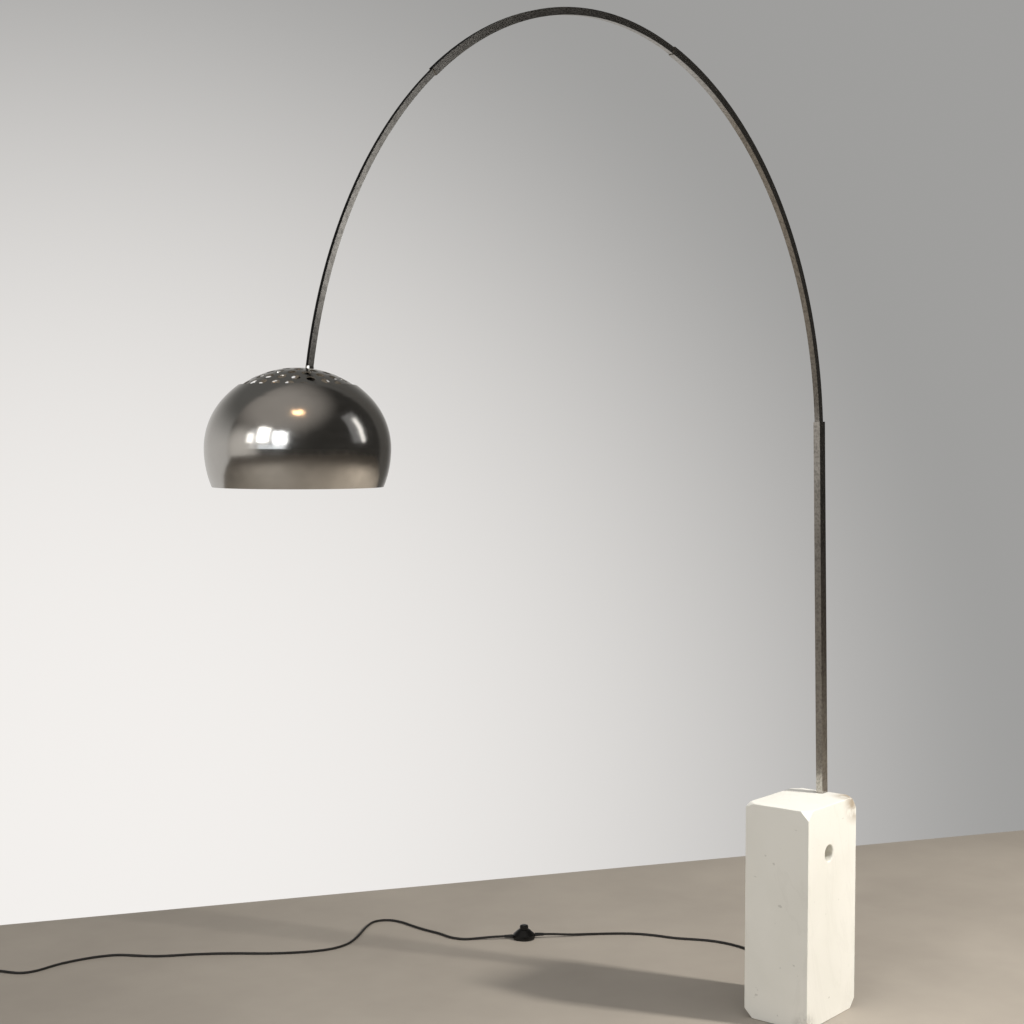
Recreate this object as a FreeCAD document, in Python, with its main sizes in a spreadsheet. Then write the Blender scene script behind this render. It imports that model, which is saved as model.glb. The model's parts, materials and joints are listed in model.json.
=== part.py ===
import FreeCAD, Part
import math
import os
import Sketcher

# Arc floor lamp: marble block, leaning column, three telescoping arc channels and a dome shade.
# Origin: centre of the block's underside. +Z up, the arc reaches out along -X in the plane Y = 0.

V = FreeCAD.Vector
doc = FreeCAD.newDocument("ArcFloorLamp")

# Driving dimensions, millimetres and degrees. Angles on the arc are measured from +X over the top.
DRIVING = {
    "marble": dict(block_long=250, block_wide=180, block_tall=550, corner_cut=24, edge_round=1.5,
                   worn_round=13, hole_x=-19, hole_z=428, hole_dia=42, hole_bevel=2),
    "column": dict(column_lean=2, column_top_x=106.8, foot_depth=99, mouth_z=1515, column_wide=18,
                   column_deep=28, column_wall=1.5, slot_gap=0.3),
    "arc": dict(arc_radius=914, arc_x=-840.6, arc_z=1447.8, lower_start=-0.85, joint_one=75.96,
                joint_two=129.41, arc_end=170.7, hidden_angle=7, lower_wide=14, lower_deep=19,
                lower_wall=1.3, middle_wide=10.6, middle_deep=15.6, middle_wall=1.2, upper_wide=7.4,
                upper_deep=12, upper_wall=0.9, strip_thick=1.1, fit_gap=0.05),
    "fixings": dict(insert_thick=10, insert_tall=92, bolt_dia=8, bolt_low=25, bolt_high=75,
                    bolt_reach=44, head_dia=13, head_tall=8, washer_thick=1.6, washer_dia=14.4,
                    anchor_dia=14, anchor_long=34, grub_dia=5, thumb_dia=9, thumb_tall=6,
                    screw_dia=4, thumb_back=1.4, screw_clear=0.2),
    "cable": dict(duct_wide=14, duct_deep=40, duct_low=10, cover_wide=40, cover_thick=1.5,
                  cover_low=8, cover_high=446, cover_screw_in=15, cover_screw_up=24, plug_dia=7,
                  plug_long=22, gland_z=18, gland_dia=13, gland_flange=18, gland_long=38,
                  flex_dia=6.8, lead_dia=3.2, lead_bend=15, root_level=-3.9, middle_level=2.4,
                  upper_level=-1.7),
    "shade": dict(stem_gap=5, cap_radius=168.4, cap_wall=1.2, cap_half=47.5, ring_wall=1.0,
                  ring_from=37.3, ring_to=44.5, dome_radius=171.5, dome_wall=1.5, open_half=36,
                  shoulder_half=47.5, side_radius=127.7, skirt_radius=174, rim_z=-36.4,
                  vent_dia=15.4, vent_reach=8, ring_clear=0.35),
    "lampholder": dict(nipple_dia=10, nipple_bore=7, nut_tall=5, nut_across=17, ferrule_dia=15,
                       holder_top=160, holder_dia=41, holder_wall=2, skirt_long=58,
                       shell_dia=28.4, bulb_cap_dia=26.4, glass_dia=60, glass_wall=0.8),
    "switch": dict(switch_x=47, switch_y=943, switch_yaw=135, switch_dia=66, pad_tall=2,
                   plate_tall=4, cover_edge=13, cover_top=28, cover_wall=2.2, knob_dia=25,
                   knob_top=41, knob_foot=20, spring_dia=11, wire_dia=1.2,
                   relief_long=28, inlet_z=11, outlet_z=8),
    "coil": dict(coil_x=-1165, coil_y=1925, coil_mean=71, coil_lift=1.2, coil_high=14,
                 tie_wide=5, tie_thick=1, tie_turn=100, coil_leave=170, tail_long=40),
    "plug": dict(body_long=38, body_wide=26, body_thick=14, body_neck=12, pin_dia=4, pin_long=19,
                 pin_pitch=19, plug_z=7.2, plug_relief_long=24),
}


class Size:
    """A number together with the sheet expression that gives it."""

    def __init__(self, number, text):
        self.number = number
        self.text = text

    def __add__(self, other):
        other = size(other)
        return Size(self.number + other.number, f"({self.text} + {other.text})")

    def __sub__(self, other):
        other = size(other)
        return Size(self.number - other.number, f"({self.text} - {other.text})")

    def __mul__(self, other):
        other = size(other)
        return Size(self.number * other.number, f"({self.text} * {other.text})")

    def __truediv__(self, other):
        other = size(other)
        return Size(self.number / other.number, f"({self.text} / {other.text})")

    def __radd__(self, other):
        return size(other) + self

    def __rsub__(self, other):
        return size(other) - self

    def __rmul__(self, other):
        return size(other) * self

    def __neg__(self):
        return Size(-self.number, f"(0 - {self.text})")


def size(value):
    if isinstance(value, Size):
        return value
    return Size(float(value), f"({value:.6f})")


def sin_of(angle):
    return Size(math.sin(math.radians(angle.number)), f"sin({angle.text})")


def cos_of(angle):
    return Size(math.cos(math.radians(angle.number)), f"cos({angle.text})")


def tan_of(angle):
    return Size(math.tan(math.radians(angle.number)), f"tan({angle.text})")


def make_sheet():
    """Write every driving dimension into the spreadsheet and return them by name."""
    sheet = doc.addObject("Spreadsheet::Sheet", "Sizes")
    named = {}
    row = 1
    for group in DRIVING.values():
        for alias, value in group.items():
            sheet.set(f"A{row}", alias)
            sheet.set(f"B{row}", str(value))
            sheet.setAlias(f"B{row}", alias)
            named[alias] = Size(float(value), f"Sizes.{alias}")
            row += 1
    doc.recompute()
    return named


class Sizes:
    """The driving dimensions as attributes."""

    def __init__(self, named):
        self.__dict__.update(named)


d = Sizes(make_sheet())
nodes = {}


class Frame:
    """A place for a sub-part: a base point and one turn about X, Y or Z."""

    AXES = {"x": V(1, 0, 0), "y": V(0, 1, 0), "z": V(0, 0, 1)}

    def __init__(self, base=(0, 0, 0), axis="z", angle=0):
        self.base = [size(value) for value in base]
        self.axis = self.AXES[axis]
        self.angle = size(angle)

    def put(self, thing):
        base = V(*[value.number for value in self.base])
        rotation = FreeCAD.Rotation(self.axis, self.angle.number)
        thing.Placement = FreeCAD.Placement(base, rotation)
        for letter, value in zip("xyz", self.base):
            thing.setExpression(f"Placement.Base.{letter}", value.text)
        if self.angle.number:
            thing.setExpression("Placement.Rotation.Angle", self.angle.text)


def keep(thing, name, frame=None):
    """Name a finished sub-part and put it in its place."""
    thing.Label = name
    if frame:
        frame.put(thing)
    nodes[name] = thing
    return thing


def bind(thing, **values):
    for name, value in values.items():
        thing.setExpression(name, size(value).text)


# ---- primitives ----

def block(low, spans):
    """A box from its lowest corner and its three spans."""
    box = doc.addObject("Part::Box", "Block")
    bind(box, Length=spans[0], Width=spans[1], Height=spans[2])
    Frame(low).put(box)
    return box


TURNS = {"x": ("y", 90), "y": ("x", -90), "z": ("z", 0)}


def rod(radius, length, start, along="z"):
    """A cylinder from a start point along +X, +Y or +Z."""
    cylinder = doc.addObject("Part::Cylinder", "Rod")
    bind(cylinder, Radius=radius, Height=length)
    Frame(start, *TURNS[along]).put(cylinder)
    return cylinder


def cone(low_radius, high_radius, length, start, along="z"):
    """A tapered rod from a start point along +X, +Y or +Z."""
    taper = doc.addObject("Part::Cone", "Taper")
    bind(taper, Radius1=low_radius, Radius2=high_radius, Height=length)
    Frame(start, *TURNS[along]).put(taper)
    return taper


def hexagon(across, length, start, along="z"):
    """A six-sided prism from a start point along +X, +Y or +Z."""
    prism = doc.addObject("Part::Prism", "Hexagon")
    prism.Polygon = 6
    bind(prism, Circumradius=size(across) / 2 / cos_of(size(30)), Height=length)
    Frame(start, *TURNS[along]).put(prism)
    return prism


def group(*pieces):
    """Separate solids in one object."""
    compound = doc.addObject("Part::Compound", "Group")
    compound.Links = list(pieces)
    return compound


def fuse(*pieces):
    union = doc.addObject("Part::MultiFuse", "Union")
    union.Shapes = list(pieces)
    return union


def cut(base, *tools):
    result = doc.addObject("Part::Cut", "Cut")
    result.Base = base
    result.Tool = tools[0] if len(tools) == 1 else group(*tools)
    return result


# ---- sketched bodies ----

def origin_part(body, role):
    return [part for part in body.Origin.OriginFeatures if part.Role == role][0]


def edge_geometry(start, end, arc):
    if arc is None:
        return Part.LineSegment(start, end)
    centre = V(size(arc[0]).number, size(arc[1]).number, 0)
    towards = ((start + end) * 0.5 - centre).normalize()
    return Part.Arc(start, centre + towards * size(arc[2]).number, end)


def outline(body, role, corners):
    """A closed sketch. A corner is (x, y), or (x, y, (cx, cy, r)) when an arc leads to it."""
    sketch = body.newObject("Sketcher::SketchObject", "Outline")
    sketch.AttachmentSupport = (origin_part(body, role), [""])
    sketch.MapMode = "FlatFace"
    points = [V(size(corner[0]).number, size(corner[1]).number, 0) for corner in corners]
    count = len(corners)
    starts = []
    for index in range(count):
        following = corners[(index + 1) % count]
        arc = following[2] if len(following) > 2 else None
        curve = edge_geometry(points[index], points[(index + 1) % count], arc)
        edge = sketch.addGeometry(curve, False)
        forward = sketch.getPoint(edge, 1).isEqual(points[index], 1e-6)
        starts.append(1 if forward else 2)
        if arc is not None:
            radius = size(arc[2])
            rule = sketch.addConstraint(Sketcher.Constraint("Radius", edge, radius.number))
            sketch.setExpression(f"Constraints[{rule}]", radius.text)
    for index in range(count):
        following = (index + 1) % count
        sketch.addConstraint(Sketcher.Constraint(
            "Coincident", index, 3 - starts[index], following, starts[following]))
    for index, corner in enumerate(corners):
        for kind, value in zip(("DistanceX", "DistanceY"), corner[:2]):
            value = size(value)
            rule = sketch.addConstraint(Sketcher.Constraint(
                kind, -1, 1, index, starts[index], value.number))
            sketch.setExpression(f"Constraints[{rule}]", value.text)
    return sketch


def new_body():
    return doc.addObject("PartDesign::Body", "Body")


def revolve(body, sketch, angle=360, backwards=False):
    turn = body.newObject("PartDesign::Revolution", "Revolution")
    turn.Profile = sketch
    turn.ReferenceAxis = (sketch, ["V_Axis"])
    turn.Reversed = backwards
    bind(turn, Angle=angle)
    return turn


def turned(name, frame, corners):
    """A body of revolution about its own Z axis, from corners given as (radius, height)."""
    body = new_body()
    revolve(body, outline(body, "XZ_Plane", corners))
    return keep(body, name, frame)


def padded(corners, length, role="XY_Plane"):
    """A straight body of one section."""
    body = new_body()
    pad = body.newObject("PartDesign::Pad", "Pad")
    pad.Profile = outline(body, role, corners)
    bind(pad, Length=length)
    return body


def channel_section(middle, wide, deep, wall):
    """A U section that is open towards +x, centred on x = middle."""
    inner, outer = middle - deep / 2, middle + deep / 2
    side, inside = wide / 2, wide / 2 - wall
    return [(inner, -side), (outer, -side), (outer, -inside), (inner + wall, -inside),
            (inner + wall, inside), (outer, inside), (outer, side), (inner, side)]


def strip_section(middle, wide, deep, wall):
    """The section of the strip that closes the open side of a channel."""
    outer = middle + deep / 2 - 2 * d.fit_gap
    half = wide / 2 - wall - d.fit_gap
    return [(outer - d.strip_thick, -half), (outer, -half), (outer, half),
            (outer - d.strip_thick, half)]


# ---- frames used again and again ----

foot_z = d.block_tall - d.foot_depth
foot_x = d.column_top_x + d.foot_depth * tan_of(d.column_lean)
COLUMN = Frame((foot_x, 0, foot_z), "y", -d.column_lean)


def on_arc(angle):
    """A frame on the arc's centreline: +X points away from the arc's centre, +Z along the arc."""
    base = (d.arc_x + d.arc_radius * cos_of(angle), 0, d.arc_z + d.arc_radius * sin_of(angle))
    return Frame(base, "y", -angle)


def about_arc(angle):
    """A frame at the arc's centre, turned so that +X points to the given angle."""
    return Frame((d.arc_x, 0, d.arc_z), "y", -angle)


cap_tilt = 180 - d.arc_end
stem_top = d.cap_radius + d.stem_gap
shade_x = d.arc_x + d.arc_radius * cos_of(d.arc_end) - stem_top * sin_of(cap_tilt)
shade_z = d.arc_z + d.arc_radius * sin_of(d.arc_end) - stem_top * cos_of(cap_tilt)
CAP = Frame((shade_x, 0, shade_z), "y", cap_tilt)
SHADE = Frame((shade_x, 0, shade_z))
SWITCH = Frame((d.switch_x, d.switch_y, 0), "z", d.switch_yaw)
COIL = Frame((d.coil_x, d.coil_y, 0))


# ---- marble block ----

# The hand-made corner cuts are alike but for one: where it lies, and its reach along X, Y and Z.
SLIGHT_CORNER, SLIGHT_REACH = (-1, 1, 1), (24, 24, 9)
WORN_CORNER = (1, -1, 1)


def corner_point(sides):
    """A corner of the uncut block, from its side of X, Y and Z."""
    return V(sides[0] * d.block_long.number / 2, sides[1] * d.block_wide.number / 2,
             (1 + sides[2]) * d.block_tall.number / 2)


def corner_wedge(sides):
    """A pyramid that slices one corner off, with room to spare outside the block."""
    reach = SLIGHT_REACH if sides == SLIGHT_CORNER else [d.corner_cut.number] * 3
    corner = corner_point(sides)
    tips = [corner - V(sides[0] * reach[0], 0, 0), corner - V(0, sides[1] * reach[1], 0),
            corner - V(0, 0, sides[2] * reach[2])]
    middle = (tips[0] + tips[1] + tips[2]) / 3
    tips = [middle + (tip - middle) * 2 for tip in tips]
    peak = middle + (corner - middle) * 3
    sides_of = [(tips[0], tips[1], tips[2]), (tips[0], tips[1], peak),
                (tips[1], tips[2], peak), (tips[2], tips[0], peak)]
    faces = [Part.Face(Part.makePolygon([a, b, c, a])) for a, b, c in sides_of]
    return Part.Solid(Part.Shell(faces))


def corner_trim():
    """The wedges of all eight corners."""
    signs = (-1, 1)
    trim = doc.addObject("Part::Feature", "CornerTrim")
    trim.Shape = Part.makeCompound([corner_wedge((x, y, z))
                                    for x in signs for y in signs for z in signs])
    return trim


def rounded(base):
    """Round every edge of the block a little, and those of its worn corner much more."""
    doc.recompute()
    worn = corner_point(WORN_CORNER)
    fillet = doc.addObject("Part::Fillet", "Rounded")
    fillet.Base = base
    edges = []
    for number, edge in enumerate(base.Shape.Edges, 1):
        near = edge.CenterOfMass.distanceToPoint(worn) < d.corner_cut.number
        radius = (d.worn_round if near else d.edge_round).number
        edges.append((number, radius, radius))
    fillet.Edges = edges
    return fillet


def marble_base():
    raw = block((-d.block_long / 2, -d.block_wide / 2, 0),
                (d.block_long, d.block_wide, d.block_tall))
    trimmed = cut(raw, corner_trim())
    slot_half = d.column_wide / 2 + d.slot_gap
    slot = group(block((-d.column_deep / 2 - d.slot_gap, -slot_half, -2),
                       (d.column_deep * 2, 2 * slot_half, d.foot_depth * 2)))
    COLUMN.put(slot)
    duct = block((d.block_long / 2 - d.duct_deep, -d.duct_wide / 2, d.duct_low),
                 (d.duct_deep * 2, d.duct_wide, foot_z))
    anchors = group(*[rod(d.anchor_dia / 2 + d.fit_gap, d.anchor_long + 20,
                          (-d.column_deep / 2 - d.anchor_long - 1, 0, height), "x")
                      for height in (d.bolt_low, d.bolt_high)])
    COLUMN.put(anchors)
    half = d.hole_dia / 2
    hole = rod(half, d.block_wide * 2, (d.hole_x, -d.block_wide, d.hole_z), "y")
    flare = half + d.hole_bevel
    near = cone(flare + 1, half, d.hole_bevel + 1, (d.hole_x, -d.block_wide / 2 - 1, d.hole_z), "y")
    far = cone(half, flare + 1, d.hole_bevel + 1,
               (d.hole_x, d.block_wide / 2 - d.hole_bevel, d.hole_z), "y")
    plugs = [rod(d.plug_dia / 2, d.plug_long * 2, (d.block_long / 2 - d.plug_long, y, z), "x")
             for y, z in cover_screw_places()]
    body = cut(rounded(trimmed), slot, duct, anchors, hole, near, far, *plugs)
    keep(body, "marble_base")


def cover_screw_places():
    places = []
    for height in (d.cover_low + d.cover_screw_up, d.cover_high - d.cover_screw_up):
        for side in (-1, 1):
            places.append((side * d.cover_screw_in, height))
    return places


# ---- column and what fixes it ----

def column():
    length = (d.mouth_z - foot_z) / cos_of(d.column_lean)
    section = (size(0), d.column_wide, d.column_deep, d.column_wall)
    profile = padded(channel_section(*section), length)
    holes = [rod(d.bolt_dia / 2 + d.screw_clear, d.column_wall * 3,
                 (-d.column_deep / 2 - d.column_wall, 0, height), "x")
             for height in (d.bolt_low, d.bolt_high)]
    keep(cut(profile, *holes), "column_channel", COLUMN)
    keep(padded(strip_section(*section), length), "column_strip", COLUMN)


def foot_fixings():
    wall = -d.column_deep / 2 + d.column_wall
    inside = d.column_wide / 2 - d.column_wall - d.fit_gap
    heights = (d.bolt_low, d.bolt_high)
    bar = block((wall, -inside, 3), (d.insert_thick, 2 * inside, d.insert_tall))
    bores = [rod(d.bolt_dia / 2 + d.screw_clear, d.insert_thick * 2, (wall - 1, 0, height), "x")
             for height in heights]
    keep(cut(bar, *bores), "foot_insert", COLUMN)
    washer_at = wall + d.insert_thick
    washers = [cut(rod(d.washer_dia / 2, d.washer_thick, (washer_at, 0, height), "x"),
                   rod(d.bolt_dia / 2 + d.screw_clear, d.washer_thick * 3, (washer_at - 1, 0, height), "x"))
               for height in heights]
    keep(group(*washers), "foot_washers", COLUMN)
    head_at = washer_at + d.washer_thick
    bolts = [socket_screw(d.bolt_dia, d.bolt_reach, d.head_dia, d.head_tall,
                          (head_at, 0, height)) for height in heights]
    keep(group(*bolts), "foot_bolts", COLUMN)
    tail = -d.column_deep / 2 - d.anchor_long - d.slot_gap
    sleeves = [cut(rod(d.anchor_dia / 2, d.anchor_long, (tail, 0, height), "x"),
                   rod(d.bolt_dia / 2 + d.fit_gap, d.anchor_long * 2, (tail - 1, 0, height), "x"))
               for height in heights]
    keep(group(*sleeves), "foot_anchors", COLUMN)


def socket_screw(dia, reach, head_dia, head_tall, seat):
    """A socket-head screw whose shank runs towards -X from its seat."""
    x, y, z = seat
    shank = rod(dia / 2, reach, (x - reach, y, z), "x")
    head = rod(head_dia / 2, head_tall, seat, "x")
    socket = hexagon(dia * 0.75, head_tall, (x + head_tall / 2, y, z), "x")
    return cut(fuse(shank, head), socket)


GRUBS_BELOW_MOUTH, GRUB_PLACE = (18, 58), -2


def mouth_screws():
    """Two grub screws through the column's far side that grip the lower arc."""
    length = (d.mouth_z - foot_z) / cos_of(d.column_lean)
    tip = d.lower_wide / 2 + d.fit_gap
    screws = []
    for below in GRUBS_BELOW_MOUTH:
        start = (GRUB_PLACE, tip, length - below)
        pin = rod(d.grub_dia / 2, d.column_wide / 2 - tip + 0.6, start, "y")
        slot_start = (GRUB_PLACE, d.column_wide / 2 - 0.8, length - below)
        slot = hexagon(d.grub_dia / 2, 2, slot_start, "y")
        screws.append(cut(pin, slot))
    keep(group(*screws), "mouth_grub_screws", COLUMN)


# ---- cable duct in the block ----

def cable_cover():
    rear = d.block_long / 2
    plate = block((rear, -d.cover_wide / 2, d.cover_low),
                  (d.cover_thick, d.cover_wide, d.cover_high - d.cover_low))
    holes = [rod(d.screw_dia / 2 + d.screw_clear, d.cover_thick * 3, (rear - 1, y, z), "x")
             for y, z in cover_screw_places()]
    gland_hole = rod(d.gland_dia / 2 + d.fit_gap, d.cover_thick * 3, (rear - 1, 0, d.gland_z), "x")
    keep(cut(plate, gland_hole, *holes), "duct_cover")
    plugs = [cut(rod(d.plug_dia / 2 - d.fit_gap, d.plug_long, (rear - d.plug_long, y, z), "x"),
                 rod(d.screw_dia / 2 + d.fit_gap, d.plug_long * 2, (rear - d.plug_long - 1, y, z),
                     "x")) for y, z in cover_screw_places()]
    keep(group(*plugs), "duct_cover_plugs")
    seat = rear + d.cover_thick
    screws = []
    for y, z in cover_screw_places():
        shank = rod(d.screw_dia / 2, d.plug_long - 2, (seat - d.plug_long + 2, y, z), "x")
        head = cone(d.screw_dia * 0.95, d.screw_dia * 0.7, 2.2, (seat, y, z), "x")
        slot = block((seat + 1.2, y - d.screw_dia, z - 0.5), (4, d.screw_dia * 2, 1))
        screws.append(cut(fuse(shank, head), slot))
    keep(group(*screws), "duct_cover_screws")


def cord_gland():
    """Rubber bush through the cover with a tapered sleeve round the flex."""
    rear = d.block_long / 2
    frame = Frame((rear + d.cover_thick, 0, d.gland_z), "y", 90)
    neck, flange, tip = d.gland_dia / 2, d.gland_flange / 2, d.flex_dia / 2 + 1.2
    turned("cord_gland", frame, [
        (0, -d.cover_thick - 4), (neck, -d.cover_thick - 4), (neck, 0), (flange, 0),
        (flange, 2), (flange - 1, 3), (neck, 3), (tip, d.gland_long), (0, d.gland_long)])


# ---- arc channels ----

ARC_PARTS = {
    "lower": (d.lower_start, d.joint_one, d.lower_wide, d.lower_deep, d.lower_wall),
    "middle": (d.joint_one - d.hidden_angle, d.joint_two, d.middle_wide, d.middle_deep,
               d.middle_wall),
    "upper": (d.joint_two - d.hidden_angle, d.arc_end, d.upper_wide, d.upper_deep, d.upper_wall),
}


def bent(name, section, start, end):
    """A section in the plane of the arc's radius, revolved about the arc's centre."""
    body = new_body()
    revolve(body, outline(body, "XY_Plane", section), end - start, backwards=True)
    keep(body, name, about_arc(start))


def arc_channels():
    for name, (start, end, wide, deep, wall) in ARC_PARTS.items():
        bent(f"{name}_arc", channel_section(d.arc_radius, wide, deep, wall), start, end)
        bent(f"{name}_strip", strip_section(d.arc_radius, wide, deep, wall), start, end)


def clamp_screw(name, joint, wide, wall):
    """A knurled thumb screw on the far side of a channel's mouth."""
    inside = wide / 2 - wall
    shank = rod(d.screw_dia / 2, wall + 1, (0, inside, 0), "y")
    head = rod(d.thumb_dia / 2, d.thumb_tall, (0, wide / 2 + 0.2, 0), "y")
    rim = cone(d.thumb_dia / 2, d.thumb_dia / 2 - 1, 1, (0, wide / 2 + 0.2 + d.thumb_tall, 0), "y")
    keep(fuse(shank, head, rim), name, on_arc(joint - d.thumb_back))


# ---- inner lead ----

def arc_point(angle, level):
    """A point near the arc, level millimetres outside its centreline."""
    radius = d.arc_radius.number + level
    turn = math.radians(angle)
    return V(d.arc_x.number + radius * math.cos(turn), 0, d.arc_z.number + radius * math.sin(turn))


def arc_direction(angle):
    turn = math.radians(angle)
    return V(-math.sin(turn), 0, math.cos(turn))


BEND_SHARE = 0.45


def route_edges(points, label=None):
    """Straight runs joined by tangent arcs that take a fixed share of the shorter run."""
    edges = []
    radii = []
    last = points[0]
    for before, corner, after in zip(points, points[1:], points[2:]):
        back, ahead = before - corner, after - corner
        half_turn = (math.pi - back.getAngle(ahead)) / 2
        reach = BEND_SHARE * min(back.Length, ahead.Length)
        radii.append(reach / math.tan(half_turn))
        enter = corner + back.normalize() * reach
        leave = corner + ahead.normalize() * reach
        inward = (back + ahead).normalize()
        centre = corner + inward * (reach / math.sin(half_turn))
        middle = centre - inward * radii[-1]
        edges.append(Part.LineSegment(last, enter).toShape())
        edges.append(Part.Arc(enter, middle, leave).toShape())
        last = leave
    edges.append(Part.LineSegment(last, points[-1]).toShape())
    if label:
        print(label, "arc radii:", " ".join(f"{radius:.0f}" for radius in radii))
    return edges


def tube(name, edges, dia):
    """A round solid along a path of joined edges."""
    path = Part.Wire(edges)
    start, along = path.Edges[0].firstVertex().Point, path.Edges[0].tangentAt(0)
    ring = Part.Wire(Part.makeCircle(dia / 2, start, along))
    solid = path.makePipeShell([ring], True, True)
    expected = math.pi * dia * dia / 4 * path.Length
    print(f"{name}: {path.Length:.0f} mm long, volume ratio {solid.Volume / expected:.4f}")
    feature = doc.addObject("Part::Feature", "Tube")
    feature.Shape = solid
    keep(feature, name)


def arc_run(level, start, end):
    angles = (start, (start + end) / 2, end)
    return Part.Arc(*[arc_point(angle, level) for angle in angles]).toShape()


def root_lead():
    """The inner lead from the gland through duct and column to the end of the lower arc."""
    lean = math.radians(d.column_lean.number)
    foot = V(foot_x.number, 0, foot_z.number)
    along, across = V(-math.sin(lean), 0, math.cos(lean)), V(math.cos(lean), 0, math.sin(lean))
    behind = d.column_deep.number / 2 - 4.6
    gland_end = d.block_long.number / 2 - 4
    bend_run = d.lead_bend.number / BEND_SHARE
    duct_x = gland_end - bend_run
    start_angle = d.lower_start.number
    enter = arc_point(start_angle, d.root_level.number)
    points = [V(gland_end, 0, d.gland_z.number), V(duct_x, 0, d.gland_z.number),
              V(duct_x, 0, d.gland_z.number + bend_run),
              V(duct_x - 1, 0, foot_z.number - 200),
              foot + across * behind - along * 40, foot + across * (behind + 0.4) + along * 400,
              foot + across * behind + along * 780, enter - arc_direction(start_angle) * 60, enter]
    edges = route_edges(points)
    end_angle = d.joint_one.number - d.hidden_angle.number - 1
    edges.append(arc_run(d.root_level.number, start_angle, end_angle))
    tube("root_lead", edges, d.lead_dia.number)


def moving_leads():
    hidden = d.hidden_angle.number
    middle_run = arc_run(d.middle_level.number, d.joint_one.number - hidden,
                         d.joint_two.number - hidden - 1)
    tube("middle_lead", [middle_run], d.lead_dia.number)
    level, end = d.upper_level.number, d.arc_end.number
    last = arc_point(end, level)
    upper_edges = [arc_run(level, d.joint_two.number - hidden, end),
                   Part.LineSegment(last, last + arc_direction(end) * 28).toShape()]
    tube("upper_lead", upper_edges, d.lead_dia.number)


# ---- stem end, lampholder and bulb ----

def stem_fittings():
    collar, bore = d.ferrule_dia / 2, d.nipple_dia / 2
    base = cut(rod(collar, d.stem_gap, (0, 0, d.cap_radius)),
               rod(bore, d.stem_gap, (0, 0, d.cap_radius - 1.5)),
               rod(d.nipple_bore / 2, d.stem_gap * 3, (0, 0, d.cap_radius - 1)))
    spigot = block((-4.4, -2.7, stem_top - 0.5), (4.1, 5.4, 16))
    keep(fuse(base, spigot), "stem_ferrule", CAP)
    low = size(d.holder_top.number - 6)
    top = d.cap_radius + d.stem_gap - 1.6
    pipe = cut(rod(bore - d.fit_gap, top - low, (0, 0, low)),
               rod(d.nipple_bore / 2, 2 * (top - low), (0, 0, low - 1)))
    keep(pipe, "stem_nipple", CAP)
    under = d.cap_radius - d.cap_wall - 0.4
    nut = cut(hexagon(d.nut_across, d.nut_tall, (0, 0, under - d.nut_tall)),
              rod(bore, d.nut_tall * 3, (0, 0, under - 2 * d.nut_tall)))
    keep(nut, "stem_locknut", CAP)


def lampholder():
    top, outer, wall = d.holder_top, d.holder_dia / 2, d.holder_wall
    neck, bore = size(9), d.nipple_dia / 2
    low = top - 22
    turned("lampholder_cap", CAP, [
        (bore, top), (neck, top), (outer - 3, top - 8), (outer, top - 12), (outer, low),
        (outer - wall, low), (outer - wall, top - 11), (outer - 5, top - 9), (neck, top - 3),
        (bore, top - 3)])
    body_low = top - d.skirt_long
    seam = low - 0.1
    turned("lampholder_body", CAP, [
        (outer - wall, seam), (outer, seam), (outer, low - 4), (outer - 1, low - 5),
        (outer - 2, body_low + 2), (outer - 2, body_low), (outer - 2 - wall, body_low),
        (outer - 2 - wall, low - 6), (outer - wall, low - 6)])
    disc = cut(rod(outer - wall - 0.2, 9, (0, 0, top - 26.5)),
               rod(2, 30, (0, 10, top - 40)), rod(2, 30, (0, -10, top - 40)))
    keep(disc, "lampholder_insert", CAP)
    shell = d.shell_dia / 2
    turned("lampholder_shell", CAP, [
        (shell - 0.5, body_low + 3), (shell, body_low + 3), (shell, top - 26.6),
        (shell - 0.5, top - 26.6)])
    tongue = fuse(block((-3, -9, top - 28.1), (6, 18, 1.5)), rod(4, 3, (0, 0, top - 30.2)))
    keep(tongue, "lampholder_contact", CAP)
    terminals = [block((-4, side * 10 - 3, top - 17.4), (8, 6, 6)) for side in (-1, 1)]
    keep(group(*terminals), "lampholder_terminals", CAP)


def bulb():
    tip = d.holder_top - 30.3
    cap, glass, wall = d.bulb_cap_dia / 2, d.glass_dia / 2, d.glass_wall
    collar = tip - 26
    turned("bulb_tip", CAP, [(0, tip - 2), (5, tip - 2), (4.4, tip), (0, tip)])
    turned("bulb_cap_insulator", CAP, [(0, tip - 5), (11, tip - 5), (5, tip - 2.1), (0, tip - 2.1)])
    turned("bulb_screw_cap", CAP, [
        (cap - 0.4, collar), (cap, collar), (cap, tip - 6.5), (11.2, tip - 5), (10.8, tip - 5.1),
        (cap - 0.4, tip - 7)])
    middle = collar - 46
    neck = cap - 1.2
    reach = glass * sin_of(size(45))
    flat = size(4)
    inside = glass - wall
    turned("bulb_glass", CAP, [
        (0, middle - glass * cos_of(flat)),
        (glass * sin_of(flat), middle - glass * cos_of(flat)),
        (reach, middle + reach, (0, middle, glass)),
        (neck, collar - 14), (neck, collar + 3), (neck - wall, collar + 3),
        (neck - wall, collar - 14.4),
        (inside * sin_of(size(45)), middle + inside * sin_of(size(45))),
        (inside * sin_of(flat), middle - inside * cos_of(flat), (0, middle, inside)),
        (0, middle - inside * cos_of(flat))])
    stem = cone(6, 3, 30, (0, 0, collar - 26))
    Frame((0, 0, collar + 3), "x", 180).put(stem)
    wires = [rod(0.4, 22, (side * 2, 0, collar - 44)) for side in (-1, 1)]
    coil_wire = rod(0.7, 26, (-13, 0, collar - 44.5), "x")
    keep(fuse(stem, coil_wire, *wires), "bulb_filament_stem", CAP)


# ---- shade ----

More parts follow.
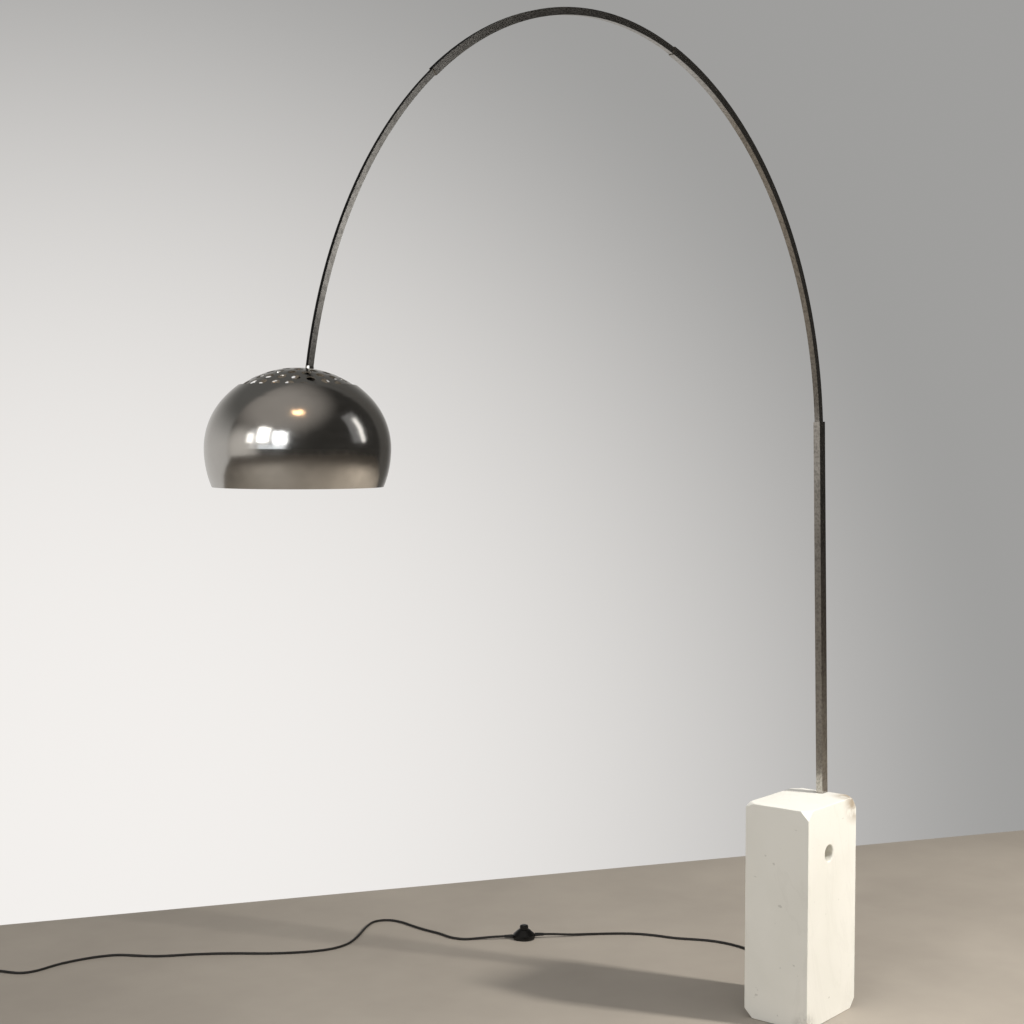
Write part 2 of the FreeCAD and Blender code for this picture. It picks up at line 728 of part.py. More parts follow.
def close_arc(corners, arc):
    """Make the edge that closes an outline an arc."""
    first = corners[0]
    return [(first[0], first[1], arc)] + corners[1:]


def shell_band(outer, wall, low_half, high_half):
    """A band of a spherical shell between two polar angles."""
    inner = outer - wall
    corners = [
        (inner * sin_of(low_half), inner * cos_of(low_half)),
        (outer * sin_of(low_half), outer * cos_of(low_half)),
        (outer * sin_of(high_half), outer * cos_of(high_half), (0, 0, outer)),
        (inner * sin_of(high_half), inner * cos_of(high_half))]
    body = new_body()
    revolve(body, outline(body, "XZ_Plane", close_arc(corners, (0, 0, inner))))
    return body


# polar angle, number of holes and first hole's azimuth of each row
VENT_ROWS = ((42, 28, 5), (34.6, 24, 4), (27, 20, 7), (19.3, 14, 2))


def vent_rod(polar, azimuth):
    """A short radial rod through the cap's shell."""
    vent = doc.addObject("Part::Cylinder", "Vent")
    bind(vent, Radius=d.vent_dia / 2, Height=2 * d.vent_reach)
    turn = FreeCAD.Rotation(V(0, 0, 1), azimuth) * FreeCAD.Rotation(V(0, 1, 0), polar)
    start = V(0, 0, d.cap_radius.number - d.vent_reach.number)
    vent.Placement = FreeCAD.Placement(turn.multVec(start), turn)
    return vent


def vent_tools():
    """The rods of every vent hole, in rows round the cap's axis."""
    return [vent_rod(polar, first + 360 * step / count)
            for polar, count, first in VENT_ROWS for step in range(count)]


def perforated_cap():
    """Spherical cap with rings of vent holes, clamped on the stem's nipple."""
    bore = d.nipple_dia.number / 2 + 0.1
    hub_half = math.degrees(math.asin(bore / d.cap_radius.number))
    shell = shell_band(d.cap_radius, d.cap_wall, size(hub_half), d.cap_half)
    keep(cut(shell, *vent_tools()), "perforated_cap", CAP)


def glide_ring():
    """Thin ring of felt between the cap and the dome that hangs on it."""
    band = shell_band(d.cap_radius + d.ring_clear + d.ring_wall, d.ring_wall, d.ring_from, d.ring_to)
    keep(band, "glide_ring", SHADE)


def dome():
    """The shade's shell: a spherical top, a rounder shoulder and a skirt that draws in."""
    wall, top = d.dome_wall, d.dome_radius
    offset = top - d.side_radius
    side_x, side_z = offset * sin_of(d.shoulder_half), offset * cos_of(d.shoulder_half)
    widest = side_x + d.side_radius
    skirt_x = widest - d.skirt_radius
    drop = side_z - d.rim_z
    sine = drop.number / (d.skirt_radius.number)
    cosine = Size(math.sqrt(1 - sine * sine),
                  f"sqrt(1 - ({drop.text} / {d.skirt_radius.text}) * "
                  f"({drop.text} / {d.skirt_radius.text}))")

    def skin(inset):
        """Four points of one skin from the top opening to the rim, with the arcs between them."""
        crown, side, skirt = top - inset, d.side_radius - inset, d.skirt_radius - inset
        return [
            (crown * sin_of(d.open_half), crown * cos_of(d.open_half)),
            (crown * sin_of(d.shoulder_half), crown * cos_of(d.shoulder_half), (0, 0, crown)),
            (side_x + side, side_z, (side_x, side_z, side)),
            (skirt_x + skirt * cosine, side_z - skirt * (drop / d.skirt_radius),
             (skirt_x, side_z, skirt))]

    outer, inner = skin(size(0)), skin(wall)
    corners = [corner for corner in outer]
    back = inner[::-1]
    corners.append(back[0][:2])
    for corner, arc_from in zip(back[1:], back[:-1]):
        corners.append((corner[0], corner[1], arc_from[2]))
    turned("dome", SHADE, corners)


# ---- foot switch ----

def foot_switch():
    outer, wall = d.switch_dia / 2, d.cover_wall
    floor_z = d.pad_tall
    plate_top = floor_z + d.plate_tall
    turned("switch_pad", SWITCH, [(16, 0), (outer - 2, 0), (outer - 2, floor_z), (16, floor_z)])
    turned("switch_base", SWITCH, [
        (0, floor_z), (outer - 1, floor_z), (outer, floor_z + 1), (outer, plate_top),
        (outer - wall - 0.2, plate_top), (outer - wall - 0.2, plate_top - 2), (4, plate_top - 2),
        (4, plate_top + 9), (0, plate_top + 9)])
    knob = d.knob_dia / 2
    mouth = knob + 0.4
    turned("switch_cover", SWITCH, [
        (outer - wall, plate_top), (outer, plate_top), (outer - 1, d.cover_edge),
        (outer - 3, d.cover_edge + 2.4), (mouth + 4, d.cover_top - 1), (mouth + 1, d.cover_top),
        (mouth, d.cover_top), (mouth, d.cover_top - wall - 1), (mouth + 3, d.cover_top - wall - 1.4),
        (outer - 4 - wall, d.cover_edge), (outer - 1 - wall, d.cover_edge - 2)])
    spring_high = d.knob_foot + 7
    turned("switch_button", SWITCH, [
        (0, spring_high), (7.5, spring_high), (7.5, d.knob_foot), (knob + 2.2, d.knob_foot),
        (knob + 2.2, d.knob_foot + 2.4), (knob, d.knob_foot + 2.4), (knob, d.knob_top - 4),
        (knob - 1.5, d.knob_top - 1.4), (knob - 5, d.knob_top), (0, d.knob_top)])
    doc.recompute()
    switch_spring(plate_top.number - 2, spring_high.number)
    contacts = [block((side * 15 - 5, -5, plate_top - 1.9), (10, 10, 8)) for side in (-1, 1)]
    keep(group(*contacts), "switch_contacts", SWITCH)
    screws = []
    for turn in (45, 225):
        x = 24 * math.cos(math.radians(turn))
        y = 24 * math.sin(math.radians(turn))
        screws.append(fuse(rod(1.5, 7, (x, y, plate_top - 2)), rod(2.8, 1.6, (x, y, plate_top))))
    keep(group(*screws), "switch_screws", SWITCH)
    thick, thin = d.flex_dia / 2 + 2.2, d.flex_dia / 2 + 0.8
    edge = outer - 3
    inlet = cone(thin, thick, d.relief_long + 3, (-edge - d.relief_long, 0, d.inlet_z), "x")
    keep(cut(inlet, switch_hollow()), "switch_inlet_relief", SWITCH)
    outlet = cone(thick, thin, d.relief_long + 3, (edge - 3, 0, d.outlet_z), "x")
    keep(cut(outlet, switch_hollow()), "switch_outlet_relief", SWITCH)


def switch_hollow():
    """The room inside the switch's rim, which a sleeve stops at."""
    return rod(d.switch_dia / 2 + d.fit_gap, d.cover_edge * 2, (0, 0, 0))


def switch_spring(low, high):
    """Open helical spring between the base plate and the button."""
    wire = d.wire_dia.number
    turns = 5
    rise = high - low - wire - 0.2
    helix = Part.makeHelix(rise / turns, rise, d.spring_dia.number / 2)
    start = helix.Edges[0].firstVertex().Point
    ring = Part.Wire(Part.makeCircle(wire / 2, start, helix.Edges[0].tangentAt(0)))
    solid = Part.Wire(helix.Edges).makePipeShell([ring], True, True)
    feature = doc.addObject("Part::Feature", "Spring")
    feature.Shape = solid
    keep(feature, "switch_spring",
         Frame((d.switch_x, d.switch_y, low + wire / 2 + 0.1), "z", d.switch_yaw))


# ---- flex on the floor ----

def along_yaw(x, y, z, yaw, reach):
    turn = math.radians(yaw)
    return V(x + reach * math.cos(turn), y + reach * math.sin(turn), z)


def switch_end(side, height, beyond=0):
    """The end of a strain relief, or a point further out in line with it."""
    reach = side * (d.switch_dia.number / 2 - 3 + d.relief_long.number + beyond)
    return along_yaw(d.switch_x.number, d.switch_y.number, height.number, d.switch_yaw.number, reach)


# Routes by hand: gland to switch, and switch to coil.
BASE_ROUTE = [(190, 0, 18), (227, 4, 11), (267, 19, 5), (308, 49, 3.5), (342, 99, 3.5),
              (358, 160, 3.5), (361, 228, 3.5), (356, 296, 3.5), (361, 362, 3.5),
              (375, 426, 3.5), (371, 488, 3.5), (349, 541, 3.5), (321, 592, 3.5),
              (308, 655, 3.5), (285, 711, 3.5), (243, 764, 3.5), (195, 813, 3.5),
              (146, 852, 5.5)]
FLOOR_ROUTE = [(-43, 1036, 4.6), (-80, 1065, 3.5), (-92, 1109, 3.5), (-80, 1158, 3.5),
               (-81, 1213, 3.5), (-75, 1271, 3.5), (-64, 1324, 3.5), (-70, 1374, 3.5),
               (-108, 1400, 3.5), (-160, 1382, 3.5), (-213, 1352, 3.5), (-269, 1321, 3.5),
               (-330, 1296, 3.5), (-393, 1299, 3.5), (-448, 1330, 3.5), (-501, 1374, 3.5),
               (-548, 1424, 3.5), (-590, 1480, 3.5), (-639, 1535, 3.5), (-692, 1584, 3.5),
               (-743, 1624, 3.5), (-780, 1673, 3.5), (-811, 1732, 3.5), (-862, 1763, 3.5),
               (-920, 1782, 3.5), (-983, 1792, 3.5), (-1045, 1786, 3.5), (-1088, 1803, 3.5),
               (-1105, 1847, 3.5), (-1121, 1893, 4)]
LEAD_IN = 26


def coil_point(angle, height):
    """A point on the coil's mean circle."""
    turn = math.radians(angle)
    radius = d.coil_mean.number / 2
    return V(d.coil_x.number + radius * math.cos(turn), d.coil_y.number + radius * math.sin(turn),
             height)


def floor_flex():
    rear = d.block_long.number / 2 + d.cover_thick.number + d.gland_long.number
    gland = V(rear, 0, d.gland_z.number)
    to_switch = [gland] + [V(*point) for point in BASE_ROUTE]
    to_switch += [switch_end(-1, d.inlet_z, LEAD_IN), switch_end(-1, d.inlet_z)]
    tube("flex_base_to_switch", route_edges(to_switch, "base to switch"), d.flex_dia.number)
    level = d.coil_lift.number + d.flex_dia.number / 2
    to_coil = [switch_end(1, d.outlet_z), switch_end(1, d.outlet_z, LEAD_IN)]
    to_coil += [V(*point) for point in FLOOR_ROUTE]
    to_coil.append(coil_point(18, level))
    tube("flex_switch_to_coil", route_edges(to_coil, "switch to coil"), d.flex_dia.number)
    inner = d.coil_mean / 2 - d.flex_dia
    outer = d.coil_mean / 2 + d.flex_dia
    turned("cord_coil", COIL, [
        (inner, d.coil_lift + 2), (inner + 2, d.coil_lift), (outer - 2, d.coil_lift),
        (outer, d.coil_lift + 2), (outer, d.coil_high - 5), (outer - 5, d.coil_high),
        (inner + 5, d.coil_high), (inner, d.coil_high - 5)])
    half = d.tie_wide / 2
    span = outer - inner + 2.4
    ring = cut(block((inner - 1.2, -half, 0), (span, d.tie_wide, d.coil_high + 1.2)),
               block((inner - 0.2, -half - 1, d.tie_thick),
                     (span - 2, d.tie_wide + 2, d.coil_high - 0.8)))
    keep(ring, "cord_tie", Frame((d.coil_x, d.coil_y, 0), "z", d.tie_turn))


def plug():
    """Flat two-pin plug whose +X points out of its face."""
    leave = d.coil_leave.number
    start = coil_point(leave, d.plug_z.number)
    heading = leave + 90
    tail_end = along_yaw(start.x, start.y, d.plug_z.number, heading, d.tail_long.number)
    tube("flex_coil_to_plug", [Part.LineSegment(start, tail_end).toShape()], d.flex_dia.number)
    mean, turn = d.coil_mean / 2, d.coil_leave
    heading_size = turn + 90
    reach = d.tail_long + d.plug_relief_long
    base = (d.coil_x + mean * cos_of(turn) + reach * cos_of(heading_size),
            d.coil_y + mean * sin_of(turn) + reach * sin_of(heading_size), d.plug_z)
    frame = Frame(base, "z", heading_size)
    neck, wide, long = d.body_neck / 2, d.body_wide / 2, d.body_long
    body = padded([(0, -neck), (11, -wide), (long, -wide), (long, wide), (11, wide), (0, neck)],
                  d.body_thick)
    pad = body.Tip
    pad.Midplane = True
    doc.recompute()
    fillet = body.newObject("PartDesign::Fillet", "Soft")
    fillet.Base = (pad, [f"Edge{number + 1}" for number in range(len(body.Shape.Edges))])
    fillet.Radius = 2
    keep(body, "plug_body", frame)
    relief = cone(d.flex_dia / 2 + 0.6, neck - 0.4, d.plug_relief_long,
                  (-d.plug_relief_long, 0, 0), "x")
    keep(group(relief), "plug_relief", frame)
    pins = [fuse(rod(d.pin_dia / 2, d.pin_long - 1, (long, side * d.pin_pitch / 2, 0), "x"),
                 cone(d.pin_dia / 2, d.pin_dia / 2 - 0.7, 1,
                      (long + d.pin_long - 1, side * d.pin_pitch / 2, 0), "x"))
            for side in (-1, 1)]
    keep(group(*pins), "plug_pins", frame)


def build():
    marble_base()
    column()
    foot_fixings()
    mouth_screws()
    cable_cover()
    cord_gland()
    arc_channels()
    clamp_screw("lower_clamp_screw", d.joint_one, d.lower_wide, d.lower_wall)
    clamp_screw("middle_clamp_screw", d.joint_two, d.middle_wide, d.middle_wall)
    root_lead()
    moving_leads()
    stem_fittings()
    lampholder()
    bulb()
    perforated_cap()
    glide_ring()
    dome()
    foot_switch()
    floor_flex()
    plug()


def check_and_write():
    doc.recompute()
    for thing in doc.Objects:
        if "Invalid" in thing.State or "Error" in thing.State:
            raise RuntimeError(f"{thing.Label} failed: {thing.State}")
    os.makedirs("parts", exist_ok=True)
    for name, thing in nodes.items():
        shape = thing.Shape
        if shape.isNull() or not shape.isValid() or not shape.Solids:
            raise RuntimeError(f"{name} has no valid solid")
        shape.exportStep(f"parts/{name}.step")
    print(len(nodes), "sub-parts")


build()
check_and_write()
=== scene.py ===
import bpy
import json
import math
from mathutils import Matrix, Vector


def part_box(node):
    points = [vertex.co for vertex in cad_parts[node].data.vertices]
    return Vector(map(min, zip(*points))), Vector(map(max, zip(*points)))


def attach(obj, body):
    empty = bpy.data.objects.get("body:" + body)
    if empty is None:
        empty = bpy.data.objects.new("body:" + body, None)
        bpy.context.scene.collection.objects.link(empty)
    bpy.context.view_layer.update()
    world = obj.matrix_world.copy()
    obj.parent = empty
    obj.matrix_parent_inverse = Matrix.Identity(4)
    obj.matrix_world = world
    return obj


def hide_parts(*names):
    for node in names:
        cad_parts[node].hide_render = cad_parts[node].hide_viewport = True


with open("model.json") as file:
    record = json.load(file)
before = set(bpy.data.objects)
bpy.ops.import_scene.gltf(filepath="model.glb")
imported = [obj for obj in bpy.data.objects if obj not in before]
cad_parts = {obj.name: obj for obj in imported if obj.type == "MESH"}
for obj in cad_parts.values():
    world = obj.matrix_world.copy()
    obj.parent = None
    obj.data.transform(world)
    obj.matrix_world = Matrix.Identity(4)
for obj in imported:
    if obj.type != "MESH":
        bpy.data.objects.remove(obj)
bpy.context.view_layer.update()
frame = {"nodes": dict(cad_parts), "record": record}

# ---- camera ----

CAMERA_PLACE = Vector((-3.8093, -2.1156, 1.4738))
AZIMUTH, DOWN, ROLL = -51.142, 2.527, -0.106
LENS, SENSOR = 59.49, 36.0


def make_camera():
    """A camera at eye height that looks a little down along the arm's near side."""
    azimuth, down, roll = (math.radians(value) for value in (AZIMUTH, DOWN, ROLL))
    ahead = Vector((-math.sin(azimuth) * math.cos(down), math.cos(azimuth) * math.cos(down),
                    -math.sin(down)))
    right = Vector((math.cos(azimuth), math.sin(azimuth), 0))
    below = ahead.cross(right)
    side = right * math.cos(roll) + below * math.sin(roll)
    up = right * math.sin(roll) - below * math.cos(roll)
    data = bpy.data.cameras.new("view")
    data.lens, data.sensor_width = LENS, SENSOR
    data.clip_end = 60
    camera = bpy.data.objects.new("view", data)
    turn = Matrix((side, up, -ahead)).transposed().to_4x4()
    camera.matrix_world = Matrix.Translation(CAMERA_PLACE) @ turn
    bpy.context.scene.collection.objects.link(camera)
    bpy.context.scene.camera = camera


make_camera()

# ---- flex on the floor: the route's points in metres, as listed ----

GLAND_END = (0.1645, 0, 0.018)
BASE_ROUTE = [(0.190, 0, 0.018), (0.227, 0.004, 0.011), (0.267, 0.019, 0.005),
              (0.308, 0.049, 0.0035), (0.342, 0.099, 0.0035), (0.358, 0.160, 0.0035),
              (0.361, 0.228, 0.0035), (0.356, 0.296, 0.0035), (0.361, 0.362, 0.0035),
              (0.375, 0.426, 0.0035), (0.371, 0.488, 0.0035), (0.349, 0.541, 0.0035),
              (0.321, 0.592, 0.0035), (0.308, 0.655, 0.0035), (0.285, 0.711, 0.0035),
              (0.243, 0.764, 0.0035), (0.195, 0.813, 0.0035), (0.146, 0.852, 0.0055)]
FLOOR_ROUTE = [(-0.043, 1.036, 0.0046), (-0.080, 1.065, 0.0035), (-0.092, 1.109, 0.0035),
               (-0.080, 1.158, 0.0035), (-0.081, 1.213, 0.0035), (-0.075, 1.271, 0.0035),
               (-0.064, 1.324, 0.0035), (-0.070, 1.374, 0.0035), (-0.108, 1.400, 0.0035),
               (-0.160, 1.382, 0.0035), (-0.213, 1.352, 0.0035), (-0.269, 1.321, 0.0035),
               (-0.330, 1.296, 0.0035), (-0.393, 1.299, 0.0035), (-0.448, 1.330, 0.0035),
               (-0.501, 1.374, 0.0035), (-0.548, 1.424, 0.0035), (-0.590, 1.480, 0.0035),
               (-0.639, 1.535, 0.0035), (-0.692, 1.584, 0.0035), (-0.743, 1.624, 0.0035),
               (-0.780, 1.673, 0.0035), (-0.811, 1.732, 0.0035), (-0.862, 1.763, 0.0035),
               (-0.920, 1.782, 0.0035), (-0.983, 1.792, 0.0035), (-1.045, 1.786, 0.0035),
               (-1.088, 1.803, 0.0035), (-1.105, 1.847, 0.0035), (-1.121, 1.893, 0.004)]
FLEX = 0.0068
SWITCH_PLACE, SWITCH_YAW = Vector((0.047, 0.943, 0)), math.radians(135)
RELIEF_REACH, LEAD_IN = 0.058, 0.026
INLET_Z, OUTLET_Z = 0.011, 0.008
COIL_PLACE, COIL_MEAN = Vector((-1.165, 1.925, 0)), 0.0355
COIL_IN, COIL_OUT = math.radians(18), math.radians(170)
COIL_LEVEL, COIL_STEP_UP, COIL_STEPS = 0.0046, 0.0064, 34
# In turns from the coil's start: where it moves inward, where it climbs, and how long each takes.
INWARD_FROM, INWARD_OVER, CLIMB_FROM, CLIMB_OVER = 0.55, 0.45, 1.4, 0.22
# Off the coil: how far along, and how high, in metres.
TAIL = ((0.012, 0.0114), (0.025, 0.0108), (0.035, 0.0078), (0.046, 0.0072))


def switch_point(reach, height):
    """A point on the switch's long axis, reach from its middle."""
    along = Vector((math.cos(SWITCH_YAW), math.sin(SWITCH_YAW), 0))
    point = SWITCH_PLACE + along * reach
    return (point.x, point.y, height)


def coil_points():
    """A turn and a half on the floor, outer then inner, and the rest on top of them."""
    points = []
    sweep = COIL_OUT - COIL_IN + 4 * math.pi
    for step in range(COIL_STEPS + 1):
        turned = sweep * step / COIL_STEPS
        turns = turned / (2 * math.pi)
        inward = min(max((turns - INWARD_FROM) / INWARD_OVER, 0), 1)
        rise = min(max((turns - CLIMB_FROM) / CLIMB_OVER, 0), 1)
        radius = COIL_MEAN + FLEX / 2 - FLEX * inward + FLEX / 2 * rise
        angle = COIL_IN + turned
        points.append((COIL_PLACE.x + radius * math.cos(angle),
                       COIL_PLACE.y + radius * math.sin(angle),
                       COIL_LEVEL + COIL_STEP_UP * rise))
    return points


def tail_points():
    """Off the coil's top, over its outer turn and down into the plug's sleeve."""
    start = COIL_PLACE + COIL_MEAN * Vector((math.cos(COIL_OUT), math.sin(COIL_OUT), 0))
    heading = Vector((-math.sin(COIL_OUT), math.cos(COIL_OUT), 0))
    return [tuple(start + heading * reach + Vector((0, 0, height)))
            for reach, height in TAIL]


def flex_curve(name, points):
    """A round cable on one smooth open spline."""
    data = bpy.data.curves.new(name, "CURVE")
    data.dimensions = "3D"
    data.bevel_depth = FLEX / 2
    data.bevel_resolution = 5
    data.resolution_u = 8
    data.use_fill_caps = True
    spline = data.splines.new("NURBS")
    spline.points.add(len(points) - 1)
    for target, point in zip(spline.points, points):
        target.co = (*point, 1)
    spline.order_u = 3
    spline.use_endpoint_u = True
    curve = bpy.data.objects.new(name, data)
    bpy.context.scene.collection.objects.link(curve)
    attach(curve, "base")
    return curve


def lay_flex():
    """Block to switch, then switch to plug: the mains side takes in the spare flex's coil."""
    base_points = [GLAND_END, *BASE_ROUTE, switch_point(-RELIEF_REACH - LEAD_IN, INLET_Z),
                   switch_point(-RELIEF_REACH, INLET_Z)]
    base_flex = flex_curve("flex_base", base_points)
    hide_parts("flex_base_to_switch")
    floor_points = [switch_point(RELIEF_REACH, OUTLET_Z),
                    switch_point(RELIEF_REACH + LEAD_IN, OUTLET_Z),
                    *FLOOR_ROUTE, *coil_points(), *tail_points()]
    floor_flex = flex_curve("flex_mains", floor_points)
    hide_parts("flex_switch_to_coil", "cord_coil", "flex_coil_to_plug")
    return base_flex, floor_flex


FLEXES = lay_flex()

# ---- materials ----

BLOCK_LOW, BLOCK_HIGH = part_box("marble_base")
WORN_IN, WORN_DOWN = 0.006, 0.012
WORN_CORNER = (BLOCK_HIGH[0] - WORN_IN, BLOCK_LOW[1] + WORN_IN, BLOCK_HIGH[2] - WORN_DOWN)
NEAR_FOOT = BLOCK_LOW


class Nodes:
    """A node tree under construction, with the coordinates that its textures use."""

    def __init__(self, tree, coordinates):
        self.tree = tree
        self.place = self.node("ShaderNodeTexCoord").outputs[coordinates]

    def node(self, kind, **values):
        made = self.tree.nodes.new(kind)
        for name, value in values.items():
            setattr(made, name, value)
        return made

    def link(self, source, target):
        self.tree.links.new(source, target)

    def noise(self, scale, detail=4.0, stretch=(1, 1, 1), roughness=0.5, distortion=0.0):
        mapping = self.node("ShaderNodeMapping")
        mapping.inputs["Scale"].default_value = stretch
        self.link(self.place, mapping.inputs["Vector"])
        made = self.node("ShaderNodeTexNoise")
        made.inputs["Scale"].default_value = scale
        made.inputs["Detail"].default_value = detail
        made.inputs["Roughness"].default_value = roughness
        made.inputs["Distortion"].default_value = distortion
        self.link(mapping.outputs["Vector"], made.inputs["Vector"])
        return made.outputs["Fac"]

    def compared(self, operation, vector):
        """The coordinates' distance from a vector, or their dot product with it."""
        made = self.node("ShaderNodeVectorMath", operation=operation)
        made.inputs[1].default_value = vector
        self.link(self.place, made.inputs[0])
        return made.outputs["Value"]

    def eased(self, source, zero_at, one_at):
        """Smoothly from 0 to 1 as the source goes from zero_at to one_at."""
        made = self.node("ShaderNodeMapRange", interpolation_type="SMOOTHSTEP")
        made.inputs["From Min"].default_value = zero_at
        made.inputs["From Max"].default_value = one_at
        self.link(source, made.inputs["Value"])
        return made.outputs["Result"]

    def mix(self, factor, first, second, blend="MIX"):
        made = self.node("ShaderNodeMix", data_type="RGBA", blend_type=blend)
        if isinstance(factor, float):
            made.inputs[0].default_value = factor
        else:
            self.link(factor, made.inputs[0])
        for socket, value in ((made.inputs[6], first), (made.inputs[7], second)):
            if isinstance(value, tuple):
                socket.default_value = (*value, 1)
            else:
                self.link(value, socket)
        return made.outputs[2]


class Paint(Nodes):
    """A surface material, textured in the piece's own coordinates."""

    def __init__(self, name, color, metallic=0.0, roughness=0.5, **sockets):
        self.material = bpy.data.materials.new(name)
        self.material.use_nodes = True
        super().__init__(self.material.node_tree, "Object")
        self.shader = self.tree.nodes["Principled BSDF"]
        self.shader.inputs["Base Color"].default_value = (*color, 1)
        self.shader.inputs["Metallic"].default_value = metallic
        self.shader.inputs["Roughness"].default_value = roughness
        for socket, value in sockets.items():
            self.shader.inputs[socket.replace("_", " ")].default_value = value

    def ramp(self, source, stops):
        """Colours, or shades of grey, at the source's given values."""
        made = self.node("ShaderNodeValToRGB")
        elements = made.color_ramp.elements
        while len(elements) < len(stops):
            elements.new(0.5)
        for element, (position, value) in zip(elements, stops):
            element.position = position
            tone = value if isinstance(value, tuple) else (value, value, value)
            element.color = (*tone, 1)
        self.link(source, made.inputs["Fac"])
        return made.outputs["Color"]

    def near(self, point, far, close):
        """1 within close of a point, falling to 0 at far."""
        return self.eased(self.compared("DISTANCE", point), far, close)

    def times(self, first, second):
        made = self.node("ShaderNodeMath", operation="MULTIPLY")
        self.link(first, made.inputs[0])
        self.link(second, made.inputs[1])
        return made.outputs["Value"]

    def color(self, source):
        self.link(source, self.shader.inputs["Base Color"])

    def rough(self, source, low, high):
        made = self.node("ShaderNodeMapRange")
        made.inputs["To Min"].default_value = low
        made.inputs["To Max"].default_value = high
        self.link(source, made.inputs["Value"])
        self.link(made.outputs["Result"], self.shader.inputs["Roughness"])

    def bump(self, source, strength, distance):
        made = self.node("ShaderNodeBump")
        made.inputs["Strength"].default_value = strength
        made.inputs["Distance"].default_value = distance
        self.link(source, made.inputs["Height"])
        self.link(made.outputs["Normal"], self.shader.inputs["Normal"])


def marble():
    """Cream marble: soft clouds, faint veins, dark specks, a brown worn corner, a grimy foot."""
    paint = Paint("white_marble", (0.82, 0.80, 0.75), roughness=0.5)
    clouds = paint.ramp(paint.noise(3.5, 6, distortion=0.6), [
        (0.30, (0.775, 0.762, 0.70)), (0.52, (0.815, 0.80, 0.742)), (0.75, (0.835, 0.82, 0.765))])
    veins = paint.ramp(paint.noise(2.2, 9, (1, 1, 0.45), 0.6, 1.6), [
        (0.488, 0.0), (0.5, 0.11), (0.505, 0.11), (0.525, 0.0)])
    veined = paint.mix(veins, clouds, (0.60, 0.585, 0.53))
    specks = paint.ramp(paint.noise(46, 3, (1, 1, 1.4)), [(0.70, 0.0), (0.76, 0.6)])
    speckled = paint.mix(specks, veined, (0.50, 0.49, 0.44))
    stain = paint.near(WORN_CORNER, 0.07, 0.015)
    patchy = paint.ramp(paint.noise(34, 5), [(0.36, 0.05), (0.56, 0.85)])
    stained = paint.mix(paint.times(stain, patchy), speckled, (0.33, 0.255, 0.17))
    foot = paint.near(NEAR_FOOT, 0.055, 0.01)
    grimy = paint.ramp(paint.noise(60, 4), [(0.40, 0.0), (0.58, 0.7)])
    paint.color(paint.mix(paint.times(foot, grimy), stained, (0.33, 0.31, 0.27)))
    paint.rough(paint.noise(40, 5), 0.42, 0.62)
    paint.bump(paint.noise(160, 6), 0.25, 0.0006)
    return paint.material


def satin_steel():
    """Worn stainless steel: dull speckles and patches over a satin ground."""
    paint = Paint("satin_steel", (0.42, 0.405, 0.38), metallic=1.0, roughness=0.26)
    speckle = paint.ramp(paint.noise(150, 1), [(0.36, 0.60), (0.56, 1.0)])
    patches = paint.ramp(paint.noise(11, 5), [
        (0.3, (0.44, 0.42, 0.39)), (0.6, (0.52, 0.50, 0.47)), (0.8, (0.56, 0.54, 0.51))])
    paint.color(paint.mix(0.7, patches, speckle, "MULTIPLY"))
    paint.rough(paint.noise(12, 2), 0.17, 0.26)
    return paint.material


def polished_steel():
    """Bright polished steel, spun and handled: smudges, fine scuffs and a slight waviness."""
    paint = Paint("polished_steel", (0.58, 0.565, 0.54), metallic=1.0, roughness=0.1)
    paint.color(paint.ramp(paint.noise(9, 6, distortion=0.8), [
        (0.35, (0.55, 0.535, 0.51)), (0.65, (0.615, 0.60, 0.575))]))
    paint.rough(paint.noise(16, 9, roughness=0.72, distortion=0.6), 0.06, 0.25)
    paint.bump(paint.noise(3.5, 2), 0.03, 0.004)
    return paint.material


GRAIN_DARKER, GRAIN_HIGH = 0.78, 0.0002


def plain(name, color, metallic, low, high, grain, bump=0.1, **sockets):
    """A surface with a little grain in its colour, roughness and bump."""
    paint = Paint(name, color, metallic=metallic, roughness=(low + high) / 2, **sockets)
    shade = tuple(value * GRAIN_DARKER for value in color)
    paint.color(paint.mix(paint.noise(grain, 4), shade, color))
    paint.rough(paint.noise(grain * 0.5, 5), low, high)
    paint.bump(paint.noise(grain * 2, 3), bump, GRAIN_HIGH)
    return paint.material


def glass():
    """Frosted white lamp glass."""
    paint = Paint("frosted_glass", (0.95, 0.95, 0.93), roughness=0.35,
                  Transmission_Weight=1.0, IOR=1.45)
    paint.rough(paint.noise(200, 3), 0.3, 0.42)
    return paint.material


